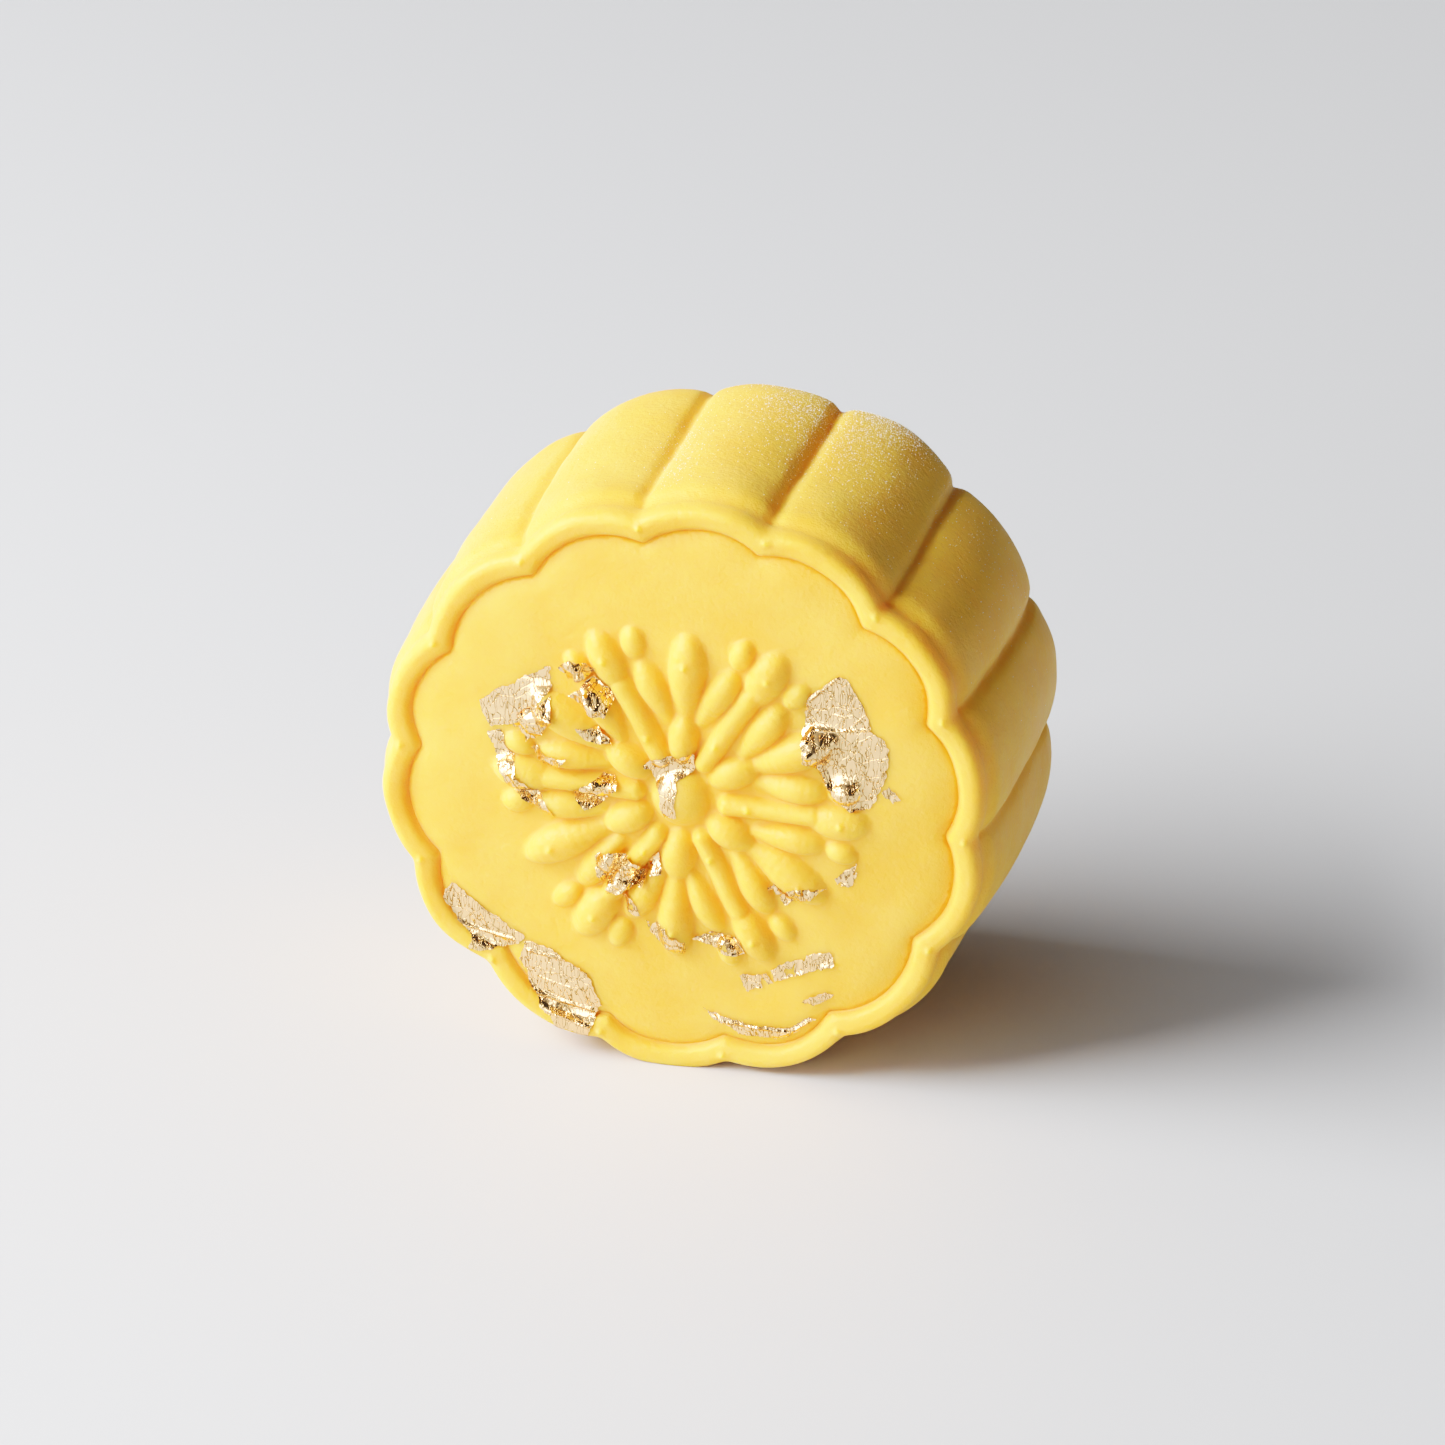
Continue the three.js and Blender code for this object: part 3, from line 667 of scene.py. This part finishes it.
# ---- Flour ----
def side_point(angle, y):
    """A point on the flutes and the unit vector out of them."""
    rows = np.array(flute_rows())
    sections = [np.interp(y, rows[:, 0], column) for column in rows[:, 1:].T]
    radius = outline(angle, *sections)
    return np.stack([radius * np.cos(angle), y, radius * np.sin(angle)], 1) + np.outer(y / THICKNESS, LEAN)


def flour_grains():
    rng = np.random.default_rng(SEED + 3)
    places = []
    for angle, y, angle_spread, y_spread, count in FLOUR:
        places.append(np.stack([rng.normal(angle, angle_spread, count), rng.normal(y, y_spread, count)], 1))
    places = np.concatenate(places)
    places = places[(places[:, 1] > FLOUR_FRONT) & (places[:, 1] < FLOUR_BACK)]
    centres = side_point(np.radians(places[:, 0]), places[:, 1])
    low, high = GRAIN_RADIUS
    sizes = low + (high - low) * rng.uniform(0, 1, len(centres)) ** FINENESS
    # Each grain is a chipped octahedron
    corners = np.array([[1, 0, 0], [0, 1, 0], [-1, 0, 0], [0, -1, 0], [0, 0, 1], [0, 0, -1]])
    chip = np.array([[i, (i + 1) % 4, 4] for i in range(4)] + [[(i + 1) % 4, i, 5] for i in range(4)])
    points = []
    for centre, size in zip(centres, sizes):
        shape = corners * size * rng.uniform(*CHIPPED, (6, 1))
        turn = rng.uniform(0, 2 * math.pi)
        spin = np.array(Matrix.Rotation(turn, 3, Vector(rng.normal(size=3)).normalized()))
        points.append(shape @ spin.T + centre)
    faces = np.concatenate([chip + i * 6 for i in range(len(points))])
    return settle(np.concatenate(points)), faces.tolist()


# ---- Materials ----
def srgb(code):
    """An sRGB hex colour as linear RGBA."""
    channels = [int(code[i : i + 2], 16) / 255 for i in (1, 3, 5)]
    return [c / 12.92 if c <= 0.04045 else ((c + 0.055) / 1.055) ** 2.4 for c in channels] + [1.0]


def add_node(material, kind, settings=None, **inputs):
    """Adds a node. settings are its own values; inputs are sockets, each with a value or a node's output."""
    node = material.node_tree.nodes.new(kind)
    for name, value in (settings or {}).items():
        setattr(node, name, value)
    for name, value in inputs.items():
        socket = node.inputs[int(name[1:]) if name[0] == "_" else name.replace("_", " ")]
        if isinstance(value, bpy.types.NodeSocket):
            material.node_tree.links.new(value, socket)
        else:
            socket.default_value = value
    return node


def new_material(name):
    material = bpy.data.materials.new(name)
    material.use_nodes = True
    material.node_tree.nodes.clear()
    return material


def finish_material(material, shader):
    output = add_node(material, "ShaderNodeOutputMaterial", Surface=shader.outputs[0])
    output.is_active_output = True
    return material


def snow_skin_dough():
    """Cooked glutinous-rice dough: matte, and so translucent that its creases glow deep yellow."""
    m = new_material("snow_skin_dough")
    place = add_node(m, "ShaderNodeTexCoord").outputs["Object"]
    # Clouds of a few millimetres where the kneaded dough is drier or richer
    clouds = add_node(m, "ShaderNodeTexNoise", Vector=place, Scale=1 / (5 * MM), Detail=3.0, Roughness=0.6)
    # The grain of milled rice, a third of a millimetre, drawn a little coarser than it is
    grain = add_node(m, "ShaderNodeTexNoise", Vector=place, Scale=1 / (0.45 * MM), Detail=2.0, Roughness=0.7)
    ramp = add_node(m, "ShaderNodeValToRGB", Fac=clouds.outputs["Fac"])
    ramp.color_ramp.elements[0].position = 0.35
    ramp.color_ramp.elements[0].color = srgb("#F8B643")
    ramp.color_ramp.elements[1].position = 0.68
    ramp.color_ramp.elements[1].color = srgb("#F9BF4F")
    bump_grain = add_node(m, "ShaderNodeBump", Strength=0.8, Distance=0.1 * MM, Height=grain.outputs["Fac"])
    bump = add_node(m, "ShaderNodeBump", Strength=0.8, Distance=0.25 * MM, Height=clouds.outputs["Fac"],
                    Normal=bump_grain.outputs[0])
    shader = add_node(
        m, "ShaderNodeBsdfPrincipled", {"subsurface_method": "RANDOM_WALK"},
        Base_Color=ramp.outputs[0], Roughness=0.5, IOR=1.42, Specular_IOR_Level=0.35,
        Subsurface_Weight=0.9, Subsurface_Radius=(1.0, 0.95, 0.35), Subsurface_Scale=1.7 * MM,
        Sheen_Weight=0.05, Sheen_Roughness=0.5, Normal=bump.outputs[0],
    )
    return finish_material(m, shader)


def beaten_gold_leaf():
    """Edible gold leaf, beaten under a micron thin: a mirror broken by fine crinkles, pale where flat, with
    painted shade along its crinkles and creases.
    """
    m = new_material("beaten_gold_leaf")
    place = add_node(m, "ShaderNodeTexCoord").outputs["Object"]
    # Crinkles side by side, a third of a millimetre apart, where the sheet was drawn together: thin ridges
    along = add_node(m, "ShaderNodeMapping", Vector=place, Rotation=(0.0, math.radians(20), 0.0),
                     Scale=(3.0, 1.0, 0.8))
    drawn = add_node(m, "ShaderNodeTexNoise", Vector=along.outputs[0], Scale=1 / (0.9 * MM), Detail=1.5,
                     Roughness=0.6, Distortion=0.3)
    level = add_node(m, "ShaderNodeMath", {"operation": "SUBTRACT"}, _0=drawn.outputs["Fac"], _1=0.5)
    apart = add_node(m, "ShaderNodeMath", {"operation": "ABSOLUTE"}, _0=level.outputs[0])
    ridge = add_node(m, "ShaderNodeMapRange", {"interpolation_type": "SMOOTHSTEP"}, Value=apart.outputs[0],
                     From_Min=0.0, From_Max=0.03, To_Min=0.12)
    # A few longer creases from handling, a millimetre or two apart
    warp = add_node(m, "ShaderNodeTexNoise", Vector=place, Scale=1 / (1.6 * MM), Detail=2.0)
    bend = add_node(m, "ShaderNodeVectorMath", {"operation": "MULTIPLY_ADD"}, _0=warp.outputs["Color"],
                    _1=(0.9 * MM,) * 3, _2=place)
    broad = add_node(m, "ShaderNodeTexVoronoi", {"feature": "DISTANCE_TO_EDGE"}, Vector=bend.outputs[0],
                     Scale=1 / (1.6 * MM))
    crease = add_node(m, "ShaderNodeMapRange", Value=broad.outputs[0], From_Min=0.0, From_Max=0.025,
                      To_Min=0.3)
    # Painted shade: deep in a crease the leaf sees only itself, so its colour is darkened there to a thin
    # brown line
    painted_shade_lines = add_node(m, "ShaderNodeMath", {"operation": "MULTIPLY"}, _0=ridge.outputs[0],
                     _1=crease.outputs[0])
    # The gold's own pale colour, turned brown by painted shade where the crinkles and creases meet
    gold_and_painted_shade = add_node(m, "ShaderNodeValToRGB", Fac=painted_shade_lines.outputs[0])
    gold_and_painted_shade.color_ramp.elements[0].position = 0.1
    gold_and_painted_shade.color_ramp.elements[0].color = srgb("#8F6A38")
    gold_and_painted_shade.color_ramp.elements[1].position = 0.8
    gold_and_painted_shade.color_ramp.elements[1].color = srgb("#FFD39A")
    glitter = add_node(m, "ShaderNodeTexNoise", Vector=place, Scale=1 / (0.16 * MM), Detail=1.0)
    bump_glitter = add_node(m, "ShaderNodeBump", Strength=0.3, Distance=0.02 * MM,
                            Height=glitter.outputs["Fac"])
    bump_ridge = add_node(m, "ShaderNodeBump", Strength=0.8, Distance=0.075 * MM, Height=ridge.outputs[0],
                          Normal=bump_glitter.outputs[0])
    bump = add_node(m, "ShaderNodeBump", Strength=0.6, Distance=0.04 * MM, Height=crease.outputs[0],
                    Normal=bump_ridge.outputs[0])
    shader = add_node(
        m, "ShaderNodeBsdfPrincipled", Base_Color=gold_and_painted_shade.outputs["Color"], Metallic=1.0, Roughness=0.16,
        Normal=bump.outputs[0],
    )
    return finish_material(m, shader)


def cooked_rice_flour():
    """Fine white flour: each grain a bright matte speck."""
    m = new_material("cooked_rice_flour")
    place = add_node(m, "ShaderNodeTexCoord").outputs["Object"]
    shade = add_node(m, "ShaderNodeTexNoise", Vector=place, Scale=1 / (2 * MM))
    ramp = add_node(m, "ShaderNodeValToRGB", Fac=shade.outputs["Fac"])
    ramp.color_ramp.elements[0].color = srgb("#EFE6C8")
    ramp.color_ramp.elements[1].color = srgb("#FFFDF4")
    shader = add_node(m, "ShaderNodeBsdfPrincipled", Base_Color=ramp.outputs[0], Roughness=0.45, IOR=1.5)
    return finish_material(m, shader)


def pale_table():
    """A plain honed stone top, so smooth that it shows only light and shadow."""
    m = new_material("honed_pale_stone")
    shader = add_node(m, "ShaderNodeBsdfPrincipled", Base_Color=srgb("#C9CACD"), Roughness=0.6, IOR=1.45)
    return finish_material(m, shader)


# ---- Studio ----
CAMERA_AZIMUTH = math.radians(14.57)
CAMERA_ELEVATION = math.radians(25.25)
CAMERA_DISTANCE = 600  # mm, to the point it looks at
CAMERA_LENS = 196.2  # mm, as the sensor is
SENSOR_WIDTH = 36
LOOKS_AT = np.array([3.30, 0.0, 6.60])  # mm from the cake's axis
# The soft boxes: distance in m, turn from the camera's left towards the camera, elevation, width and height
# in degrees, and radiance
SOFT_BOXES = {
    "key_box": (0.7, 10, 39, 44, 26, 77.0),
    "fill_card": (1.5, 45, 8, 50, 30, 18.0),
    "side_card": (1.5, 168, 12, 50, 24, 3.9),
}
FLOOR_SIZE = 8.0  # m
TONE_CURVE = (
    (0, 0), (0.01, 0.006), (0.05, 0.047), (0.15, 0.19), (0.4, 0.475), (0.8, 0.71), (1.3, 0.89), (2.2, 1.0),
)
ROOM_WALL = (-0.94, -0.34, 0)  # towards the brightest wall of the room
ROOM_DARK, ROOM_BRIGHT = 0.04, 0.9
LEAF_FOLD_ANGLE = math.radians(22)  # a sharper fold than this shows as an edge


def camera():
    back = np.array([
        math.sin(CAMERA_AZIMUTH) * math.cos(CAMERA_ELEVATION),
        -math.cos(CAMERA_AZIMUTH) * math.cos(CAMERA_ELEVATION),
        math.sin(CAMERA_ELEVATION),
    ])
    data = bpy.data.cameras.new("camera")
    data.sensor_width = SENSOR_WIDTH
    data.lens = CAMERA_LENS
    data.clip_start = 0.01
    seen = bpy.data.objects.new("camera", data)
    seen.location = Vector((LOOKS_AT + SHIFT + back * CAMERA_DISTANCE) * MM)
    seen.rotation_euler = Vector(back).to_track_quat("Z", "Y").to_euler()
    bpy.context.scene.collection.objects.link(seen)
    bpy.context.scene.camera = seen


def soft_boxes():
    """A wide key light to the left, a weak card low beside the camera and a weaker one to the right."""
    for name, (distance, turn, elevation, width, height, radiance) in SOFT_BOXES.items():
        turn, elevation = math.pi + CAMERA_AZIMUTH + math.radians(turn), math.radians(elevation)
        level = math.cos(elevation)
        towards = Vector((math.cos(turn) * level, math.sin(turn) * level, math.sin(elevation)))
        data = bpy.data.lights.new(name, "AREA")
        data.shape = "RECTANGLE"
        data.size, data.size_y = (
            2 * distance * math.tan(math.radians(span) / 2) for span in (width, height)
        )
        data.energy = radiance * data.size * data.size_y * math.pi / 4
        light = bpy.data.objects.new(name, data)
        light.location = towards * distance
        light.rotation_euler = towards.to_track_quat("Z", "Y").to_euler()
        bpy.context.scene.collection.objects.link(light)


def studio_air():
    """Weak fill from the room: bright to the left, dimmer in front, nearly dark above and behind."""
    world = bpy.data.worlds.new("studio")
    world.use_nodes = True
    nodes, links = world.node_tree.nodes, world.node_tree.links
    background = nodes["Background"]
    place = nodes.new("ShaderNodeTexCoord")
    facing = nodes.new("ShaderNodeVectorMath")
    facing.operation = "DOT_PRODUCT"
    facing.inputs[1].default_value = ROOM_WALL
    strength = nodes.new("ShaderNodeMapRange")
    strength.inputs["To Min"].default_value = ROOM_DARK
    strength.inputs["To Max"].default_value = ROOM_BRIGHT
    links.new(place.outputs["Generated"], facing.inputs[0])
    links.new(facing.outputs["Value"], strength.inputs["Value"])
    links.new(strength.outputs["Result"], background.inputs["Strength"])
    background.inputs["Color"].default_value = srgb("#FFFFFF")
    bpy.context.scene.world = world


def table():
    half = FLOOR_SIZE / 2
    mesh = bpy.data.meshes.new("table_top")
    corners = [(-half, -half, 0), (half, -half, 0), (half, half, 0), (-half, half, 0)]
    mesh.from_pydata(corners, [], [(0, 1, 2, 3)])
    mesh.materials.append(pale_table())
    top = bpy.data.objects.new("table_top", mesh)
    bpy.context.scene.collection.objects.link(top)


def photographic_contrast():
    """A tone curve with a short toe and a long soft shoulder, as a camera's is."""
    view = bpy.context.scene.view_settings
    view.view_transform = "Standard"
    view.use_curve_mapping = True
    mapping = view.curve_mapping
    mapping.use_clip = False
    mapping.extend = "EXTRAPOLATED"
    mapping.clip_max_x = mapping.clip_max_y = TONE_CURVE[-1][0]  # the curve is drawn out to here
    combined = mapping.curves[3]
    combined.points[0].location = TONE_CURVE[0]
    combined.points[1].location = TONE_CURVE[-1]
    for x, y in TONE_CURVE[1:-1]:
        combined.points.new(x, y)
    mapping.update()


# ---- Making ----
cake_points, cake_faces = dough()
cake_points = settle(cake_points)
SHIFT = row_shift(cake_points)
camera()
soft_boxes()
studio_air()
table()

cake = make_piece("moulded_dough", cake_points, cake_faces, snow_skin_dough())
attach(cake, "root")
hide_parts("mooncake")

leaf = make_piece("torn_gold_leaf", *gold_leaf(), beaten_gold_leaf())
leaf.data.set_sharp_from_angle(angle=LEAF_FOLD_ANGLE)
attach(leaf, "root")
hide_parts("mooncake")

flour = make_piece("flour_grains", *flour_grains(), cooked_rice_flour())
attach(flour, "root")
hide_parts("mooncake")

photographic_contrast()
